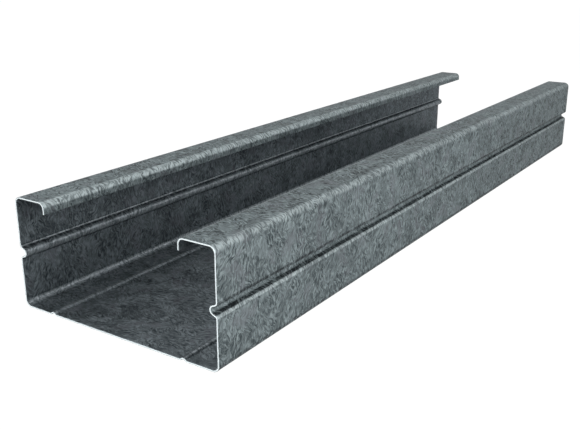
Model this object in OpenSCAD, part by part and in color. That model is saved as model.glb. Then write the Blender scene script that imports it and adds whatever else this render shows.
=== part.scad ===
// Drywall metal stud: a lipped channel, roll-formed from one strip of galvanised sheet.
// It lies on its web with the mouth up. The length runs along Y, the web's width along X, and
// the origin is in the middle of the web's outer face. The section is the path of the sheet's
// mid-line, as flats and bends in the order in which the rolls form them, thickened to the
// sheet and drawn out along the length.

/* [Channel] */
// Depth of the stud: width of the web over the two board faces
web_w = 88.9; // [70:0.1:160]
// Height of each wall, which is the face that boards are screwed to
wall_h = 41.4; // [34:0.1:60]
// Width of each return, from the board face to the mouth
return_w = 14.8; // [10:0.1:20]
// Height of each lip, from the top of the return to the free edge
lip_h = 4.3; // [3.2:0.1:8]
// Thickness of the sheet
sheet_t = 0.65; // [0.4:0.01:0.9]
// Length of the piece
stud_length = 357; // [100:1:3600]

/* [Bends] */
// Inside radius of the bends between web and wall, and between wall and return
bend_r = 2; // [1:0.1:2.6]
// Inside radius of the bend between return and lip
lip_r = 1.8; // [0.6:0.1:2.6]

/* [Wall rib] */
// Depth of the rib that is rolled inward along the middle of each wall
rib_depth = 2.55; // [2.2:0.05:3.5]
// Slope of the rib's sides against the wall
rib_slope = 66; // [50:1:75]
// Inside radius at the crest of the rib
rib_crest_r = 1.1; // [0.5:0.05:1.4]
// Inside radius where the rib leaves the wall
rib_root_r = 0.7; // [0.4:0.05:1]

/* [Web bead] */
// Distance of the middle of each bead from the board face beside it
bead_inset = 14.5; // [9:0.1:30]
// Width of each bead over its roots
bead_w = 3.2; // [2.6:0.1:5]
// Height of each bead above the web
bead_h = 0.65; // [0.3:0.05:0.9]

/* [Hidden] */

// A bend is drawn in flats that turn by at most this angle
facet_angle = 10;
right_angle = 90;
zinc = [0.53, 0.56, 0.57];

// Radii of the mid-line
half_t = sheet_t / 2;
bend_mid_r = bend_r + half_t;
lip_mid_r = lip_r + half_t;
crest_mid_r = rib_crest_r + half_t;
root_mid_r = rib_root_r + half_t;

// Wall rib: root bend, straight side, crest bend, straight side, root bend
rib_turns = crest_mid_r + root_mid_r;
rib_side = (rib_depth - rib_turns * (1 - cos(rib_slope))) / sin(rib_slope);
rib_half_w = rib_turns * sin(rib_slope) + rib_side * cos(rib_slope);
rib_z = wall_h / 2;

// Web bead: three bends of one radius and no straight sides
bead_half_w = bead_w / 2;
bead_turn = 2 * atan(bead_h / bead_half_w);
bead_mid_r = bead_half_w / (2 * sin(bead_turn));
bead_x = web_w / 2 - bead_inset;

// Heights and distances at which the long bends start and end
web_end = web_w / 2 - half_t - bend_mid_r;
wall_foot = half_t + bend_mid_r;
wall_head = wall_h - half_t - bend_mid_r;
return_flat = return_w - 2 * half_t - bend_mid_r - lip_mid_r;
lip_flat = lip_h - half_t - lip_mid_r;

// A step of the path is flat(length) or bend(angle, mid-line radius). A bend with a positive
// angle turns to the left, which is into the channel.
function flat(length) = [length];
function bend(angle, radius) = [angle, radius];

bead_steps = [
    bend(bead_turn, bead_mid_r),
    bend(-2 * bead_turn, bead_mid_r),
    bend(bead_turn, bead_mid_r),
];

rib_steps = [
    bend(rib_slope, root_mid_r),
    flat(rib_side),
    bend(-2 * rib_slope, crest_mid_r),
    flat(rib_side),
    bend(rib_slope, root_mid_r),
];

// Half of the section, from the middle of the web to the edge of the lip
half_section_steps = [
    flat(bead_x - bead_half_w),
    each bead_steps,
    flat(web_end - bead_x - bead_half_w),
    bend(right_angle, bend_mid_r),
    flat(rib_z - rib_half_w - wall_foot),
    each rib_steps,
    flat(wall_head - rib_z - rib_half_w),
    bend(right_angle, bend_mid_r),
    flat(return_flat),
    bend(right_angle, lip_mid_r),
    flat(lip_flat),
];

// A station is [x, z, heading] on the mid-line. These are the stations that one step adds.
function flat_stations(from, length) =
    [[from[0] + length * cos(from[2]), from[1] + length * sin(from[2]), from[2]]];

function bend_stations(from, angle, radius) =
    let (count = ceil(abs(angle) / facet_angle), side = sign(angle) * radius)
    [for (i = [1:count])
        let (heading = from[2] + angle * i / count)
        [from[0] + side * (sin(heading) - sin(from[2])),
         from[1] - side * (cos(heading) - cos(from[2])),
         heading]];

function step_stations(from, step) =
    len(step) == 1 ? flat_stations(from, step[0]) : bend_stations(from, step[0], step[1]);

function path_stations(from, steps, i = 0) =
    i == len(steps) ? [] :
    let (added = step_stations(from, steps[i]))
    [each added, each path_stations(added[len(added) - 1], steps, i + 1)];

// The line that runs beside the stations at a distance, to the left where that is positive
function beside(stations, distance) =
    [for (s = stations) [s[0] - distance * sin(s[2]), s[1] + distance * cos(s[2])]];

function reversed(list) = [for (i = [len(list) - 1:-1:0]) list[i]];
function mirrored(points) = [for (p = points) [-p[0], p[1]]];

// Outline of the whole section: the outer side from lip to lip, then the inner side back
function section_outline() =
    let (
        stations = path_stations([0, half_t, 0], half_section_steps),
        outer = beside(stations, -half_t),
        inner = beside(stations, half_t)
    )
    [each reversed(mirrored(outer)), each outer, each reversed(inner), each mirrored(inner)];

module stud() {
    color(zinc)
        translate([0, stud_length / 2, 0])
            rotate([right_angle, 0, 0])
                linear_extrude(height = stud_length)
                    polygon(section_outline());
}

stud();
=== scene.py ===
"""Drywall metal stud: a lipped channel, roll-formed from one strip of galvanised sheet.

The stud lies on its web with the mouth up. Its length runs along Y and its web's width along X.
All sizes are in metres.
"""

import logging
import math
from dataclasses import dataclass
from enum import Enum
from typing import ClassVar, Iterator, NamedTuple

import bpy
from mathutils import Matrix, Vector, noise


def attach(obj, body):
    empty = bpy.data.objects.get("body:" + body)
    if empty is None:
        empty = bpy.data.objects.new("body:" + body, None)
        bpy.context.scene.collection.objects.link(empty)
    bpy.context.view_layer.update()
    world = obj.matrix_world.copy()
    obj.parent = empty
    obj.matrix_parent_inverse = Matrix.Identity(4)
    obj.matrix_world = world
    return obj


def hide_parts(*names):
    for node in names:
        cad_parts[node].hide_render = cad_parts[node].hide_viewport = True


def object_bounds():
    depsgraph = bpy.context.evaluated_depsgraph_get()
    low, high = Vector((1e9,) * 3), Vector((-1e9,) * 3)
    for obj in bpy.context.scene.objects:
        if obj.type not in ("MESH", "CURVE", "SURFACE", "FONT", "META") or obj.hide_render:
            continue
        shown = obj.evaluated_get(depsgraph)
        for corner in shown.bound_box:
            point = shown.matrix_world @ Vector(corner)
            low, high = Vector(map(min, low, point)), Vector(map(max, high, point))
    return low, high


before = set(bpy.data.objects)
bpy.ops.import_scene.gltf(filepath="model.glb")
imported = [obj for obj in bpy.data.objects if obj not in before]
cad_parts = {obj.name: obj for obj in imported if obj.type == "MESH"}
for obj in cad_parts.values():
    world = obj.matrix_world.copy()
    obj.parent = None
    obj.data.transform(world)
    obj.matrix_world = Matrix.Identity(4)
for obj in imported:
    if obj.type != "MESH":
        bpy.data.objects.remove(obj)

log = logging.getLogger("stud")

MM = 0.001
STUD_NODE = "stud"
ROOT_BODY = "root"
SHEET_SLOT = "galvanised_sheet"
FLOOR_GAP = 0.05 * MM

Colour = tuple[float, float, float]
Point = tuple[float, float, float]
CAD_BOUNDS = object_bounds()
WHITE: Colour = (1.0, 1.0, 1.0)

# The value that noise and chance lie around
MEAN = 0.5


class Side(Enum):
    """The two faces of the sheet, as the side of the path on which each lies."""

    OUTER = -1
    INNER = 1


class Region(Enum):
    """The kinds of surface that the stud has, in the order of its material slots."""

    COATED = 0
    SHEARED = 1


# ---------------------------------------------------------------- shader helpers


class Signal:
    """A node's output socket that can be used in arithmetic."""

    def __init__(self, graph: "Graph", socket: bpy.types.NodeSocket) -> None:
        """Keeps the socket and the graph that it belongs to."""
        self.graph = graph
        self.socket = socket

    def __add__(self, other: "Operand") -> "Signal":
        """Sum of two values."""
        return self.graph.maths("ADD", self, other)

    def __radd__(self, other: float) -> "Signal":
        """Sum, with the number on the left."""
        return self.graph.maths("ADD", other, self)

    def __sub__(self, other: "Operand") -> "Signal":
        """Difference of two values."""
        return self.graph.maths("SUBTRACT", self, other)

    def __rsub__(self, other: float) -> "Signal":
        """Difference, with the number on the left."""
        return self.graph.maths("SUBTRACT", other, self)

    def __mul__(self, other: "Operand") -> "Signal":
        """Product of two values."""
        return self.graph.maths("MULTIPLY", self, other)

    def __rmul__(self, other: float) -> "Signal":
        """Product, with the number on the left."""
        return self.graph.maths("MULTIPLY", other, self)

    def __abs__(self) -> "Signal":
        """Size of a value without its sign."""
        return self.graph.maths("ABSOLUTE", self)

    def beside(self, output: str) -> "Signal":
        """Another output of the same node, by name."""
        return Signal(self.graph, self.socket.node.outputs[output])


Operand = Signal | float
SocketValue = Signal | float | Colour | tuple[float, ...]


class Graph:
    """The node tree of one material or world, and the ways in which nodes are added to it."""

    def __init__(self, tree: bpy.types.NodeTree) -> None:
        """Empties the tree."""
        self.tree = tree
        tree.nodes.clear()

    def node(
        self,
        kind: str,
        settings: dict[str, object] | None = None,
        sockets: dict[str | int, SocketValue] | None = None,
        output: str | None = None,
    ) -> "Signal | None":
        """Adds a node.

        Args:
            kind: The node's type, without the leading "ShaderNode".
            settings: Its properties, which are set before its inputs.
            sockets: A value or a signal for each input that is set, by name or number.
            output: The name of the output to return, or None for the first.

        Returns:
            The chosen output, or None for a node that has none.
        """
        made = self.tree.nodes.new("ShaderNode" + kind)
        for name, value in (settings or {}).items():
            setattr(made, name, value)
        for name, value in (sockets or {}).items():
            self._feed(self._pick(made.inputs, name), value)
        return Signal(self, self._pick(made.outputs, output)) if made.outputs else None

    def maths(self, operation: str, *values: Operand) -> Signal:
        """Adds a Math node.

        Args:
            operation: The node's operation.
            values: One number or signal for each of its inputs, in order.

        Returns:
            The result.
        """
        return self.node("Math", {"operation": operation}, dict(enumerate(values)))

    def vector_maths(self, operation: str, *values: SocketValue) -> Signal:
        """Adds a Vector Math node.

        Args:
            operation: The node's operation.
            values: One vector or signal for each of its inputs, in order.

        Returns:
            The resulting vector.
        """
        return self.node("VectorMath", {"operation": operation}, dict(enumerate(values)))

    def blend(self, share: Operand, first: SocketValue, second: SocketValue) -> Signal:
        """Mixes two colours.

        Args:
            share: How much of the second colour shows.
            first: The colour at a share of 0.
            second: The colour at a share of 1.

        Returns:
            The mixed colour.
        """
        sockets = {"Factor": share, "A": first, "B": second}
        return self.node("Mix", {"data_type": "RGBA"}, sockets, "Result")

    def multiply(self, share: Operand, first: SocketValue, second: SocketValue) -> Signal:
        """Multiplies two colours.

        Args:
            share: How much of the product shows.
            first: The colour at a share of 0.
            second: The colour that the first one is multiplied by.

        Returns:
            The resulting colour.
        """
        settings = {"data_type": "RGBA", "blend_type": "MULTIPLY"}
        return self.node("Mix", settings, {"Factor": share, "A": first, "B": second}, "Result")

    def noise(self, place: SocketValue, detail: float, output: str = "Fac", **more: float) -> Signal:
        """Adds flat noise.

        Args:
            place: Where on the noise each point of the surface is.
            detail: How many finer levels the noise has.
            output: "Fac" for a value or "Color" for three values.
            more: Values for other inputs, such as Scale.

        Returns:
            The noise, around the mean.
        """
        sockets = {"Vector": place, "Detail": detail, **more}
        return self.node("TexNoise", {"noise_dimensions": "2D"}, sockets, output)

    def band(self, value: Operand, low: float, high: float) -> Signal:
        """Maps a value to 0 at low and 1 at high, smoothly and no further.

        Args:
            value: The value to map.
            low: Where the result is 0.
            high: Where the result is 1. It may be less than low.

        Returns:
            The mapped value.
        """
        sockets = {"Value": value, "From Min": low, "From Max": high}
        return self.node("MapRange", {"interpolation_type": "SMOOTHSTEP"}, sockets)

    def shown(self) -> Signal:
        """Finds the rays that show the background, straight or in metal or glass.

        Returns:
            1 for those rays and 0 for the rest.
        """
        seen = self.node("LightPath", output="Is Camera Ray")
        mirrored = seen.beside("Is Glossy Ray")
        refracted = seen.beside("Is Transmission Ray")
        return self.maths("MAXIMUM", seen, self.maths("MAXIMUM", mirrored, refracted))

    def _feed(self, socket: bpy.types.NodeSocket, value: SocketValue) -> None:
        """Links a signal to an input, or writes a number or a colour to it.

        Args:
            socket: The input.
            value: The signal, the number or the colour.
        """
        if isinstance(value, Signal):
            self.tree.links.new(value.socket, socket)
        elif socket.type == "RGBA" and len(value) == 3:
            socket.default_value = (*value, 1.0)
        else:
            socket.default_value = value

    @staticmethod
    def _pick(sockets: bpy.types.NodeInputs, name: str | int | None) -> bpy.types.NodeSocket:
        """Finds a socket of a node.

        Args:
            sockets: The node's inputs or outputs.
            name: The socket's number or name, or None for the first one in use.

        Returns:
            The socket.
        """
        if isinstance(name, int):
            return sockets[name]
        return next(s for s in sockets if s.enabled and name in (None, s.name))


# ---------------------------------------------------------------- section of the strip


class Flat(NamedTuple):
    """A straight stretch of the section, and how much painted shade darkens it, from 0 to 1."""

    length: float
    missed: float = 0.0


class Bend(NamedTuple):
    """A round stretch of the section. A positive angle turns into the channel.

    The two weights after the radius are how much its stretched and its squeezed face are
    burnished and brightened with a painted highlight, and the last is how much painted shade
    darkens both, all from 0 to 1.
    """

    angle: float
    radius: float
    stretched_burnish_and_highlight: float = 1.0
    squeezed_burnish_and_highlight: float = 0.0
    missed: float = 0.0


class Station(NamedTuple):
    """A place on the mid-line of the section.

    Run is the distance along the strip from the middle of the web, and slack is the distance to
    the nearest bend. The outer and inner weights are how much each face is burnished and
    brightened with a painted highlight, and the one after them how much painted shade darkens
    both, from 0 to 1. Eased is how much closer both faces are to the mid-line, to go round the
    slit edge.
    """

    x: float
    z: float
    heading: float
    run: float
    slack: float = 0.0
    outer_polish: float = 0.0
    inner_polish: float = 0.0
    missed: float = 0.0
    eased: float = 0.0

    def mirrored(self) -> "Station":
        """The same place on the other half of the section."""
        return self._replace(x=-self.x, heading=-self.heading, run=-self.run)

    def polish(self, side: Side) -> float:
        """How much one face is burnished and brightened with a painted highlight."""
        return self.outer_polish if side is Side.OUTER else self.inner_polish


@dataclass
class Section:
    """The section of the stud, as the flats and bends that the rolls form in the strip.

    Flat_step and bend_step are how far apart the stations are, and support is how close to a
    bend a flat's first station lies. Rollover is the radius of the round on a cut edge.
    """

    web_width: float
    wall_height: float
    sheet: float = 0.65 * MM
    return_width: float = 14.8 * MM
    lip_height: float = 4.3 * MM
    bend_radius: float = 2.0 * MM
    lip_radius: float = 1.8 * MM
    rib_depth: float = 2.55 * MM
    rib_slope: float = math.radians(66)
    rib_crest_radius: float = 1.1 * MM
    rib_root_radius: float = 0.7 * MM
    bead_inset: float = 14.5 * MM
    bead_width: float = 3.2 * MM
    bead_height: float = 0.65 * MM
    flat_step: float = 4.0 * MM
    bend_step: float = math.radians(7.5)
    support: float = 0.35 * MM
    rollover: float = 0.12 * MM
    rollover_steps: int = 3

    @property
    def half_sheet(self) -> float:
        """Half of the sheet's thickness."""
        return self.sheet / 2

    def rollover_arc(self) -> list[tuple[float, float]]:
        """Works out the round that the blade leaves on a cut edge.

        Returns:
            Pairs of distance from the cut and distance that the face drops, towards the cut.
        """
        turns = [math.pi / 2 * i / self.rollover_steps for i in range(self.rollover_steps + 1)]
        return [(self.rollover * (1 - math.sin(t)), self.rollover * (1 - math.cos(t))) for t in turns]

    def bead_steps(self) -> list[Flat | Bend]:
        """Works out a web bead: three bends of one radius and no straight sides.

        Returns:
            The bead's steps.
        """
        half_width = self.bead_width / 2
        turn = 2 * math.atan(self.bead_height / half_width)
        radius = half_width / (2 * math.sin(turn))
        # The bead's roots are darkened with painted shade, and the inner face of its crest is brightened
        # with a painted highlight.
        root = Bend(turn, radius, stretched_burnish_and_highlight=0.0, missed=0.3)
        return [root, Bend(-2 * turn, radius, stretched_burnish_and_highlight=0.6), root]

    def rib_steps(self) -> list[Flat | Bend]:
        """Works out a wall rib: root bend, side, crest bend, side, root bend.

        Returns:
            The rib's steps.
        """
        crest = self.rib_crest_radius + self.half_sheet
        root = self.rib_root_radius + self.half_sheet
        turns = crest + root
        side = (self.rib_depth - turns * (1 - math.cos(self.rib_slope))) / math.sin(self.rib_slope)
        # The rib's sides and roots are darkened with painted shade, and its roots and crest are brightened
        # with painted highlights.
        return [
            Bend(self.rib_slope, root, stretched_burnish_and_highlight=0.9, missed=0.8),
            Flat(side, missed=1.0),
            Bend(-2 * self.rib_slope, crest, stretched_burnish_and_highlight=0.7, squeezed_burnish_and_highlight=0.1),
            Flat(side, missed=1.0),
            Bend(self.rib_slope, root, stretched_burnish_and_highlight=0.0, squeezed_burnish_and_highlight=0.8, missed=0.85),
        ]

    def half_steps(self) -> list[Flat | Bend]:
        """Works out half of the section, from the middle of the web to the edge of the lip.

        Returns:
            The half's steps.
        """
        corner = self.bend_radius + self.half_sheet
        lip_corner = self.lip_radius + self.half_sheet
        right_angle = math.pi / 2
        bead_x = self.web_width / 2 - self.bead_inset
        bead_half = self.bead_width / 2
        rib = self.rib_steps()
        rib_half = sum(self._reach(rib)) / 2
        rib_z = self.wall_height / 2
        # The weights on the bends brighten them with painted highlights and darken them with painted
        # shade; the web-wall bend gets both.
        return [
            Flat(bead_x - bead_half),
            *self.bead_steps(),
            Flat(self.bead_inset - bead_half - self.half_sheet - corner),
            Bend(right_angle, corner, stretched_burnish_and_highlight=0.0, squeezed_burnish_and_highlight=1.0, missed=0.6),
            Flat(rib_z - rib_half - self.half_sheet - corner),
            *rib,
            Flat(rib_z - rib_half - self.half_sheet - corner),
            Bend(right_angle, corner, stretched_burnish_and_highlight=0.55),
            Flat(self.return_width - self.sheet - corner - lip_corner),
            Bend(right_angle, lip_corner),
            Flat(self.lip_height - self.half_sheet - lip_corner),
        ]

    @staticmethod
    def _reach(steps: list[Flat | Bend]) -> Iterator[float]:
        """Measures steps in the direction in which the first one starts.

        Args:
            steps: The steps.

        Yields:
            How far each step goes.
        """
        heading = 0.0
        for step in steps:
            if isinstance(step, Flat):
                yield step.length * math.cos(heading)
            else:
                turned = heading + step.angle
                side = math.copysign(step.radius, step.angle)
                yield side * (math.sin(turned) - math.sin(heading))
                heading = turned

    def stations(self) -> list[Station]:
        """Lays out the whole section.

        Returns:
            The stations, from the left lip's edge to the right lip's edge.
        """
        half = [Station(0.0, self.half_sheet, 0.0, 0.0, slack=self.web_width)]
        steps = self.half_steps()
        for index, step in enumerate(steps):
            if isinstance(step, Flat):
                half += self._flat(half[-1], step, open_start=index == 0, last=step is steps[-1])
            else:
                half += self._bend(half[-1], step)
        return [s.mirrored() for s in reversed(half[1:])] + half

    def _flat(self, start: Station, step: Flat, open_start: bool, last: bool) -> list[Station]:
        """Lays out a flat, with a station close to each end so that the shading stays flat.

        Args:
            start: The station at which the flat starts.
            step: The flat.
            open_start: Whether the flat starts in the middle of the web, not at a bend.
            last: Whether the flat ends at the edge of the strip.

        Returns:
            The stations after the start.
        """
        count = max(1, round(step.length / self.flat_step))
        places = [step.length * i / count for i in range(1, count)]
        if not open_start:
            places = [self.support] + [p for p in places if p > 2 * self.support]
        end = step.length - self.support
        spots = [(p, 0.0) for p in places if p < end - self.support] + [(end, 0.0)]
        if last:
            spots += [(step.length - short, drop) for short, drop in self.rollover_arc()]
        else:
            spots.append((step.length, 0.0))
        made = []
        for place, drop in spots:
            to_start = math.inf if open_start else place
            to_end = math.inf if last else step.length - place
            made.append(
                start._replace(
                    x=start.x + place * math.cos(start.heading),
                    z=start.z + place * math.sin(start.heading),
                    run=start.run + place,
                    slack=min(to_start, to_end),
                    outer_polish=0.0,
                    inner_polish=0.0,
                    missed=step.missed,
                    eased=drop,
                )
            )
        return made

    def _bend(self, start: Station, step: Bend) -> list[Station]:
        """Lays out a bend, which is polished most in its middle.

        Args:
            start: The station at which the bend starts.
            step: The bend.

        Returns:
            The stations after the start.
        """
        count = math.ceil(abs(step.angle) / self.bend_step)
        side = math.copysign(step.radius, step.angle)
        polish = (step.stretched_burnish_and_highlight, step.squeezed_burnish_and_highlight) if step.angle > 0 else (step.squeezed_burnish_and_highlight, step.stretched_burnish_and_highlight)
        made = []
        for i in range(1, count + 1):
            share = i / count
            heading = start.heading + step.angle * share
            made.append(
                Station(
                    x=start.x + side * (math.sin(heading) - math.sin(start.heading)),
                    z=start.z - side * (math.cos(heading) - math.cos(start.heading)),
                    heading=heading,
                    run=start.run + step.radius * abs(step.angle) * share,
                    outer_polish=polish[0] * math.sin(math.pi * share),
                    inner_polish=polish[1] * math.sin(math.pi * share),
                    missed=step.missed,
                )
            )
        return made


# ---------------------------------------------------------------- finishes


class Grain(NamedTuple):
    """One kind of mark in the coating.

    Detail is how many finer levels the mark has, and falloff how strong each of them is
    against the one before it.
    """

    length: float
    width: float
    detail: float
    falloff: float = 0.55

    def draw(self, graph: Graph, place: Signal) -> Signal:
        """Adds the marks.

        Args:
            graph: The material's node tree.
            place: The place on the strip, turned in the direction of the marks.

        Returns:
            A value around the mean that follows the marks.
        """
        scaled = graph.vector_maths("DIVIDE", place, (self.length, self.width, 1.0))
        return graph.noise(scaled, self.detail, Scale=1.0, Roughness=self.falloff)


class Crystals(NamedTuple):
    """What the crystals give at each point of the coating.

    Feather, hair and vein follow the strands, and drift the slow changes of tone. Bright and
    vivid are each crystal's own brightness and contrast.
    """

    feather: Signal
    hair: Signal
    vein: Signal
    drift: Signal
    bright: Signal
    vivid: Signal


@dataclass(frozen=True)
class SpangledZinc:
    """The hot-dip coating: feathery zinc crystals that lie across the strip.

    The bends that the rolls bear on are burnished, and brightened further with a painted
    highlight. Painted shade darkens the roots and sides of the ribs, the roots of the beads, the
    bends between web and walls, and the inner face, inside the channel. Each gain says how far a
    mark moves the tone between dark and light, and each band where a mark starts and is full.
    """

    name: str = SHEET_SLOT
    dark: Colour = (0.073, 0.092, 0.099)
    light: Colour = (0.385, 0.457, 0.472)
    plum: Colour = (0.165, 0.165, 0.190)
    # The next colour is burnish brightened into a painted highlight, and the two after it are painted
    # shade.
    burnished_highlight: Colour = (0.660, 0.750, 0.765)
    painted_shade: Colour = (0.030, 0.036, 0.040)
    inner_painted_shade: Colour = (0.79, 0.77, 0.80)

    crystal: tuple[float, float] = (6.5 * MM, 4.5 * MM)
    lean: float = math.radians(90)
    curl_length: float = 3.0 * MM
    curl_reach: float = 2.4 * MM
    strand: Grain = Grain(2.4 * MM, 0.78 * MM, detail=3.0)
    hair: Grain = Grain(2.6 * MM, 0.38 * MM, detail=1.0)
    vein: Grain = Grain(3.0 * MM, 1.0 * MM, detail=2.0)
    drift: Grain = Grain(9.0 * MM, 9.0 * MM, detail=2.0)
    relief: float = 0.10 * MM

    middle_tone: float = 0.41
    tone_band: tuple[float, float] = (-0.05, 1.05)
    least_contrast: float = 0.9
    contrast_spread: float = 1.9
    inner_contrast_loss: float = 0.15
    crystal_gain: float = 0.22
    drift_gain: float = 0.5
    hair_gain: float = 0.42
    hair_band: tuple[float, float] = (0.56, 0.68)
    vein_width: float = 0.030
    vein_depth: float = 0.15
    plum_share: float = 0.35
    plum_band: tuple[float, float] = (0.56, 0.70)

    # These set the painted highlight on the bends and the painted shade where the bends don't clear it.
    full_burnish_and_highlight: float = 0.7
    burnished_highlight_share: float = 0.7
    least_streak: float = 0.22
    streak_band: tuple[float, float] = (0.38, 0.64)
    painted_shade_share: float = 0.92
    inner_painted_shade_loss: float = 0.12
    shade_clearing_burnish: float = 0.3
    broken_share: float = 0.7
    broken_band: tuple[float, float] = (0.42, 0.66)

    metallic: float = 0.40
    gloss_level: float = 0.1
    gloss_tint: Colour = (0.13, 0.13, 0.13)
    roughness: float = 0.45
    feather_roughness: float = 0.16
    crystal_roughness: float = 0.10
    burnished_smoothness: float = 0.08

    def material(self) -> bpy.types.Material:
        """Builds the coating's material.

        Returns:
            The material, which reads the strip map and the face layers of its mesh.
        """
        made = bpy.data.materials.new(self.name)
        made.use_nodes = True
        graph = Graph(made.node_tree)
        polish, missed, inside = (
            graph.node("Attribute", {"attribute_name": layer}, output="Fac")
            for layer in (Stud.BURNISH_AND_HIGHLIGHT_LAYER, Stud.PAINTED_SHADE_LAYER, Stud.INNER_LAYER)
        )
        crystals = self._crystals(graph, graph.node("UVMap", {"uv_map": Stud.STRIP_MAP}))
        burnish_and_highlight_share = self._burnish_and_highlight_share(graph, crystals, polish)
        colour = self._zinc_colour(graph, crystals, inside)
        # Painted highlight: the bends are brightened well beyond the zinc's own tone.
        colour = graph.blend(burnish_and_highlight_share * self.burnished_highlight_share, colour, self.burnished_highlight)
        # Painted shade: the ribs' sides and roots, the beads' roots and the web-wall bends are darkened.
        colour = graph.blend(self._painted_shade_mask(graph, crystals, polish, missed, inside), colour, self.painted_shade)

        roughness = self.roughness + (crystals.feather - MEAN) * self.feather_roughness
        roughness = roughness + (crystals.bright - MEAN) * self.crystal_roughness
        height = crystals.feather * self.relief
        bump = graph.node("Bump", sockets={"Height": height, "Distance": 1.0, "Strength": 1.0})
        shader = graph.node(
            "BsdfPrincipled",
            sockets={
                # Painted shade: the inner face, inside the channel, is darkened.
                "Base Color": graph.multiply(inside, colour, self.inner_painted_shade),
                "Metallic": self.metallic,
                "Roughness": roughness - burnish_and_highlight_share * self.burnished_smoothness,
                "Normal": bump,
                "Specular Tint": self.gloss_tint,
                "Specular IOR Level": self.gloss_level,
            },
        )
        graph.node("OutputMaterial", sockets={"Surface": shader})
        return made

    def _crystals(self, graph: Graph, strip: Signal) -> Crystals:
        """Grows the crystals, each with its own lean, brightness and contrast.

        Args:
            graph: The material's node tree.
            strip: The place on the flat strip.

        Returns:
            The marks in the crystals.
        """
        curled = self._curl(graph, strip)
        cells = graph.vector_maths("DIVIDE", curled, (*self.crystal, 1.0))
        settings, sockets = {"voronoi_dimensions": "2D"}, {"Vector": cells, "Scale": 1.0}
        chance = graph.node("TexVoronoi", settings, sockets, "Color")
        lean = graph.node("SeparateColor", sockets={"Color": chance}, output="Green")
        turned = graph.node(
            "VectorRotate",
            {"rotation_type": "Z_AXIS"},
            {"Vector": curled, "Angle": (lean - MEAN) * self.lean},
        )
        return Crystals(
            feather=self.strand.draw(graph, turned),
            hair=self.hair.draw(graph, turned),
            vein=graph.band(abs(self.vein.draw(graph, turned) - MEAN), self.vein_width, 0.0),
            drift=self.drift.draw(graph, strip),
            bright=lean.beside("Blue"),
            vivid=lean.beside("Red"),
        )

    def _curl(self, graph: Graph, strip: Signal) -> Signal:
        """Bends the strip map, so that crystals and strands curl.

        Args:
            graph: The material's node tree.
            strip: The place on the flat strip.

        Returns:
            The place after bending.
        """
        far = graph.noise(strip, detail=2.0, output="Color", Scale=1 / self.curl_length)
        offset = graph.vector_maths("SUBTRACT", far, (MEAN, MEAN, MEAN))
        offset = graph.vector_maths("MULTIPLY", offset, (self.curl_reach, self.curl_reach, 0.0))
        return graph.vector_maths("ADD", strip, offset)

    def _zinc_colour(self, graph: Graph, crystals: Crystals, inside: Signal) -> Signal:
        """Colours the coating as it comes from the bath.

        Args:
            graph: The material's node tree.
            crystals: The marks in the crystals.
            inside: 1 on the inner face of the coil and 0 on the outer one.

        Returns:
            The colour before the rolls.
        """
        contrast = self.least_contrast + crystals.vivid * self.contrast_spread
        contrast = contrast * (1.0 - inside * self.inner_contrast_loss)
        tone = self.middle_tone + (crystals.feather - MEAN) * contrast
        tone = tone + (crystals.bright - MEAN) * self.crystal_gain
        tone = tone + (crystals.drift - MEAN) * self.drift_gain
        tone = graph.band(tone, *self.tone_band) * (1.0 - crystals.vein * self.vein_depth)
        tone = tone + graph.band(crystals.hair, *self.hair_band) * self.hair_gain
        plum = graph.band(crystals.drift, *self.plum_band) * self.plum_share
        return graph.blend(plum, graph.blend(tone, self.dark, self.light), self.plum)

    def _burnish_and_highlight_share(self, graph: Graph, crystals: Crystals, polish: Signal) -> Signal:
        """Finds how much the coating is burnished and brightened with a painted highlight, in streaks
        along the strands.

        Args:
            graph: The material's node tree.
            crystals: The marks in the crystals.
            polish: How much the face is burnished and brightened with a painted highlight.

        Returns:
            The share that is burnished and brightened with a painted highlight.
        """
        streaks = graph.band(crystals.feather, *self.streak_band) * (1.0 - self.least_streak)
        return graph.band(polish, 0.0, self.full_burnish_and_highlight) * (self.least_streak + streaks)

    def _painted_shade_mask(
        self, graph: Graph, crystals: Crystals, polish: Signal, missed: Signal, inside: Signal
    ) -> Signal:
        """Finds how much painted shade darkens the coating, less where it is burnished, broken up by the
        strands.

        Args:
            graph: The material's node tree.
            crystals: The marks in the crystals.
            polish: How much the face is burnished and brightened with a painted highlight.
            missed: How much painted shade darkens the face.
            inside: 1 on the inner face of the coil and 0 on the outer one.

        Returns:
            The share that is painted shade.
        """
        shade_share = missed * (1.0 - graph.band(polish, 0.0, self.shade_clearing_burnish))
        shade_share = shade_share * (self.painted_shade_share - inside * self.inner_painted_shade_loss)
        return shade_share * (1.0 - graph.band(crystals.feather, *self.broken_band) * self.broken_share)


@dataclass(frozen=True)
class ShearedSteel:
    """Bare steel at the cut ends and slit edges, bright from the blade and scored by it."""

    name: str = "sheared_edge"
    bright: Colour = (0.88, 0.96, 0.98)
    torn: Colour = (0.72, 0.80, 0.82)
    torn_band: tuple[float, float] = (0.35, 0.75)
    metallic: float = 0.30
    roughness: float = 0.45
    score_roughness: float = 0.2
    score: float = 0.12 * MM
    score_depth: float = 0.01 * MM

    def material(self) -> bpy.types.Material:
        """Builds the edge's material.

        Returns:
            The material, which reads the strip map of its mesh.
        """
        made = bpy.data.materials.new(self.name)
        made.use_nodes = True
        graph = Graph(made.node_tree)
        strip = graph.node("UVMap", {"uv_map": Stud.STRIP_MAP})
        scores = graph.noise(strip, detail=2.0, Scale=1 / self.score)
        bump = graph.node("Bump", sockets={"Height": scores * self.score_depth, "Distance": 1.0})
        shader = graph.node(
            "BsdfPrincipled",
            sockets={
                "Base Color": graph.blend(graph.band(scores, *self.torn_band), self.bright, self.torn),
                "Metallic": self.metallic,
                "Roughness": self.roughness + (scores - MEAN) * self.score_roughness,
                "Normal": bump,
            },
        )
        graph.node("OutputMaterial", sockets={"Surface": shader})
        return made


# ---------------------------------------------------------------- the stud


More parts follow.
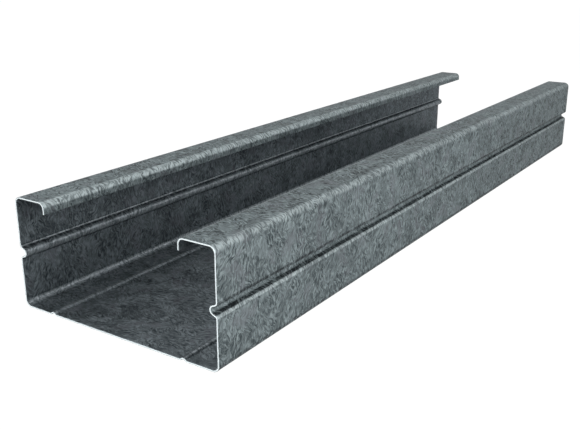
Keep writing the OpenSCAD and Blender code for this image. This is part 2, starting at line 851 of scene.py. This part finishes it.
class Corner(NamedTuple):
    """A corner of a face, by the side of the sheet, the row and the station."""

    side: Side
    row: int
    column: int


class Row(NamedTuple):
    """A place along the length, and how much closer both faces are to the mid-line there."""

    y: float
    eased: float = 0.0


@dataclass
class Stud:
    """The stud: one sheet that follows the section, cut to length at both ends.

    Waviness is how far the flats bow inward at most, and wave_free how far from a bend they do
    so fully. Map_shift is how far the inner face lies beside the outer one on the strip map.
    """

    STRIP_MAP: ClassVar[str] = "strip"
    BURNISH_AND_HIGHLIGHT_LAYER: ClassVar[str] = "polish"
    PAINTED_SHADE_LAYER: ClassVar[str] = "missed"
    INNER_LAYER: ClassVar[str] = "inner_face"

    low: Vector
    high: Vector
    row_step: float = 5.0 * MM
    end_margin: float = 0.4 * MM
    waviness: float = 0.10 * MM
    wave_length: float = 55.0 * MM
    wave_free: float = 12.0 * MM
    map_shift: float = 0.5
    coating: SpangledZinc = SpangledZinc()
    edge: ShearedSteel = ShearedSteel()

    def __post_init__(self) -> None:
        """Takes the overall size from the frame and lays out the stations and rows."""
        size = self.high - self.low
        self.section = Section(web_width=size.x, wall_height=size.z)
        self.stations = self.section.stations()
        self.rows = self._rows(size.y / 2)

    def build(self) -> bpy.types.Object:
        """Builds the mesh of the stud.

        Returns:
            The piece, in place.
        """
        corners = [(side, row, station) for side in Side for row in self.rows for station in self.stations]
        faces = list(self._faces())
        mesh = bpy.data.meshes.new("stud_sheet")
        mesh.from_pydata(
            [self._point(*corner) for corner in corners],
            [],
            [[self._number(corner) for corner in around] for _, around in faces],
        )
        strip_map = mesh.uv_layers.new(name=self.STRIP_MAP)
        places = [self._place(region, corner) for region, around in faces for corner in around]
        strip_map.uv.foreach_set("vector", [value for place in places for value in place])
        polish = [station.polish(side) for side, _, station in corners]
        self._layer(mesh, self.BURNISH_AND_HIGHLIGHT_LAYER, polish)
        self._layer(mesh, self.PAINTED_SHADE_LAYER, [station.missed for _, _, station in corners])
        self._layer(mesh, self.INNER_LAYER, [float(side is Side.INNER) for side, _, _ in corners])
        mesh.polygons.foreach_set("material_index", [region.value for region, _ in faces])
        mesh.shade_smooth()
        mesh.validate()
        self.piece = bpy.data.objects.new("stud_sheet", mesh)
        bpy.context.scene.collection.objects.link(self.piece)
        return self.piece

    def dress(self) -> None:
        """Gives the piece its materials, in the order of the regions."""
        self.piece.data.materials.append(self.coating.material())
        self.piece.data.materials.append(self.edge.material())

    def join_frame(self) -> None:
        """Puts the piece on its body in place of the plain solid."""
        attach(self.piece, ROOT_BODY)
        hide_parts(STUD_NODE)

    def _rows(self, end: float) -> list[Row]:
        """Lays out the rows of the mesh, close together at both cut ends.

        Args:
            end: The distance from the middle to either end.

        Returns:
            The rows, from the near end to the far end.
        """
        arc = self.section.rollover_arc()
        plain = end - arc[0][0] - self.end_margin
        count = round(2 * plain / self.row_step)
        middle = [Row(-plain + 2 * plain * i / count) for i in range(count + 1)]
        far = [Row(end - short, drop) for short, drop in arc]
        near = [Row(-row.y, row.eased) for row in reversed(far)]
        return [*near, *middle, *far]

    def _faces(self) -> Iterator[tuple[Region, list[Corner]]]:
        """Lays out the faces of both sides, both cut ends and both slit edges.

        Yields:
            The region of each face and its corners, which run so that the face looks outward.
        """
        last_row, last_column = len(self.rows) - 1, len(self.stations) - 1
        for row in range(last_row):
            for column in range(last_column):
                spots = [(row, column), (row, column + 1), (row + 1, column + 1), (row + 1, column)]
                yield Region.COATED, [Corner(Side.OUTER, *spot) for spot in reversed(spots)]
                yield Region.COATED, [Corner(Side.INNER, *spot) for spot in spots]
        for column in range(last_column):
            yield Region.SHEARED, self._rim((0, column), (0, column + 1))
            yield Region.SHEARED, self._rim((last_row, column + 1), (last_row, column))
        for row in range(last_row):
            yield Region.SHEARED, self._rim((row + 1, 0), (row, 0))
            yield Region.SHEARED, self._rim((row, last_column), (row + 1, last_column))

    @staticmethod
    def _rim(start: tuple[int, int], end: tuple[int, int]) -> list[Corner]:
        """Lays out a face through the thickness of the sheet.

        Args:
            start: The row and the station at which it starts.
            end: The row and the station at which it ends.

        Returns:
            The face's corners.
        """
        return [
            Corner(Side.OUTER, *start),
            Corner(Side.OUTER, *end),
            Corner(Side.INNER, *end),
            Corner(Side.INNER, *start),
        ]

    def _number(self, corner: Corner) -> int:
        """Number of the vertex at a corner."""
        first = 0 if corner.side is Side.OUTER else len(self.rows) * len(self.stations)
        return first + corner.row * len(self.stations) + corner.column

    def _place(self, region: Region, corner: Corner) -> tuple[float, float]:
        """Finds the place of a corner on the strip map.

        Args:
            region: The kind of surface that the face has.
            corner: The corner.

        Returns:
            The distance across the strip and along it.
        """
        across, along = self.stations[corner.column].run, self.rows[corner.row].y
        if corner.side is Side.OUTER:
            return across, along
        if region is Region.SHEARED:
            return across, along + self.section.sheet
        return across + self.map_shift, along

    @staticmethod
    def _layer(mesh: bpy.types.Mesh, name: str, values: list[float]) -> None:
        """Stores one number for each vertex."""
        mesh.attributes.new(name, "FLOAT", "POINT").data.foreach_set("value", values)

    def _point(self, side: Side, row: Row, station: Station) -> Point:
        """Works out where a vertex is.

        Args:
            side: The face of the sheet.
            row: The place along the length.
            station: The station on the mid-line.

        Returns:
            The vertex's coordinates.
        """
        half = self.section.half_sheet - row.eased - station.eased
        offset = side.value * half + self._wave(station, row.y)
        x = station.x - offset * math.sin(station.heading)
        z = station.z + offset * math.cos(station.heading)
        return x, row.y, z

    def _wave(self, station: Station, y: float) -> float:
        """Works out how far the sheet bows inward, away from the bends that hold it.

        Args:
            station: The station on the mid-line.
            y: The place along the length.

        Returns:
            The distance.
        """
        free = min(1.0, station.slack / self.wave_free)
        spot = Vector((station.run, y, 0.0)) / self.wave_length
        return self.waviness * free * (1 + noise.noise(spot)) / 2


# ---------------------------------------------------------------- studio and camera


@dataclass(frozen=True)
class Softbox:
    """A square softbox that faces a point.

    The azimuth is its direction from the +Y axis towards +X, and the elevation its height above
    the floor, both in degrees. The power is in watts.
    """

    name: str
    aim: Point
    azimuth: float
    elevation: float
    distance: float
    size: float
    power: float

    def build(self) -> None:
        """Hangs the softbox."""
        light = bpy.data.lights.new(self.name, "AREA")
        light.energy = self.power
        light.size = self.size
        lamp = bpy.data.objects.new(self.name, light)
        turn, lift = math.radians(self.azimuth), math.radians(self.elevation)
        level = math.cos(lift)
        away = Vector((math.sin(turn) * level, math.cos(turn) * level, math.sin(lift)))
        lamp.location = Vector(self.aim) + away * self.distance
        lamp.rotation_mode = "QUATERNION"
        lamp.rotation_quaternion = away.to_track_quat("Z", "Y")
        bpy.context.scene.collection.objects.link(lamp)


@dataclass(frozen=True)
class Surround:
    """How strong the light is that comes from each side of the stage and from above."""

    left: float
    right: float
    front: float
    rear: float
    top: float

    def build(self) -> None:
        """Surrounds the stage with light that shows white as a background."""
        world = bpy.data.worlds.new("surround")
        world.use_nodes = True
        bpy.context.scene.world = world
        graph = Graph(world.node_tree)
        direction = graph.node("TexCoord", output="Generated")
        squared = graph.vector_maths("MULTIPLY", direction, direction)
        across = graph.node("SeparateXYZ", sockets={"Vector": direction}, output="X")
        share = graph.node("SeparateXYZ", sockets={"Vector": squared}, output="X")
        level = share * self._side(graph, across, self.left, self.right)
        level += share.beside("Y") * self._side(graph, across.beside("Y"), self.front, self.rear)
        level += share.beside("Z") * self.top
        strength = graph.maths("MAXIMUM", level, graph.shown())
        surface = graph.node("Background", sockets={"Color": WHITE, "Strength": strength})
        graph.node("OutputWorld", sockets={"Surface": surface})

    @staticmethod
    def _side(graph: Graph, place: Signal, low: float, high: float) -> Signal:
        """Strength on the side of the stage that a direction points to."""
        return low + graph.maths("GREATER_THAN", place, 0.0) * (high - low)


@dataclass
class Studio:
    """A pale floor, a white surround that is brighter behind the stud, and three softboxes.

    Floor_glow is how much of the floor shows as plain white, and the rest shows the shadow.
    """

    floor_z: float
    floor_half: float = 6.0
    floor_colour: Colour = (0.55, 0.55, 0.55)
    floor_glow: float = 0.85
    glow_strength: float = 1.18
    surround: Surround = Surround(left=0.22, right=0.08, front=0.14, rear=0.36, top=0.14)
    softboxes: tuple[Softbox, ...] = (
        Softbox(
            name="side_softbox",
            aim=(-0.03, -0.165, 0.04),
            azimuth=84,
            elevation=20,
            distance=0.5,
            size=0.36,
            power=0.9,
        ),
        Softbox(
            name="end_softbox",
            aim=(0.0, -0.178, 0.02),
            azimuth=178,
            elevation=4,
            distance=0.8,
            size=0.14,
            power=4.8,
        ),
        Softbox(
            name="top_softbox",
            aim=(0.0, -0.100, 0.02),
            azimuth=-90,
            elevation=75,
            distance=0.8,
            size=0.40,
            power=1.0,
        ),
    )

    def build(self) -> None:
        """Builds the floor, the surround and the softboxes."""
        self._floor()
        self.surround.build()
        for softbox in self.softboxes:
            softbox.build()

    def _floor(self) -> None:
        """Lays the floor, which shows white where nothing shades it."""
        half = self.floor_half
        corners = [(-half, -half), (half, -half), (half, half), (-half, half)]
        mesh = bpy.data.meshes.new("floor")
        mesh.from_pydata([(x, y, self.floor_z) for x, y in corners], [], [(0, 1, 2, 3)])
        floor = bpy.data.objects.new("floor", mesh)
        bpy.context.scene.collection.objects.link(floor)
        made = bpy.data.materials.new("floor")
        made.use_nodes = True
        graph = Graph(made.node_tree)
        matt = graph.node("BsdfDiffuse", sockets={"Color": self.floor_colour})
        glow = graph.node("Emission", sockets={"Color": WHITE, "Strength": self.glow_strength})
        share = graph.shown() * self.floor_glow
        shader = graph.node("MixShader", sockets={"Fac": share, 1: matt, 2: glow})
        graph.node("OutputMaterial", sockets={"Surface": shader})
        mesh.materials.append(made)


@dataclass(frozen=True)
class View:
    """The camera, close to the near end and to the right of the stud.

    The lens and the sensor are in millimetres, and nearest is the closest that it sees.
    """

    place: Point = (0.18282, -0.34643, 0.12238)
    aim: Point = (-0.00232, -0.07044, 0.01259)
    lens: float = 50.0
    sensor: float = 36.0
    nearest: float = 0.01

    def build(self) -> None:
        """Places the camera and sets how colours are shown."""
        data = bpy.data.cameras.new("camera")
        data.lens = self.lens
        data.sensor_width = self.sensor
        data.clip_start = self.nearest
        camera = bpy.data.objects.new("camera", data)
        camera.location = self.place
        camera.rotation_mode = "QUATERNION"
        ahead = Vector(self.aim) - Vector(self.place)
        camera.rotation_quaternion = ahead.to_track_quat("-Z", "Y")
        bpy.context.scene.collection.objects.link(camera)
        bpy.context.scene.camera = camera
        bpy.context.scene.view_settings.view_transform = "Standard"


def main() -> None:
    """Builds the view, the studio and the stud."""
    logging.basicConfig(level=logging.INFO, format="%(message)s")
    low, high = CAD_BOUNDS
    View().build()
    Studio(floor_z=low.z - FLOOR_GAP).build()
    stud = Stud(low, high)
    piece = stud.build()
    stud.dress()
    stud.join_frame()
    log.info("%s: %d faces", piece.name, len(piece.data.polygons))


if __name__ == "__main__":
    main()
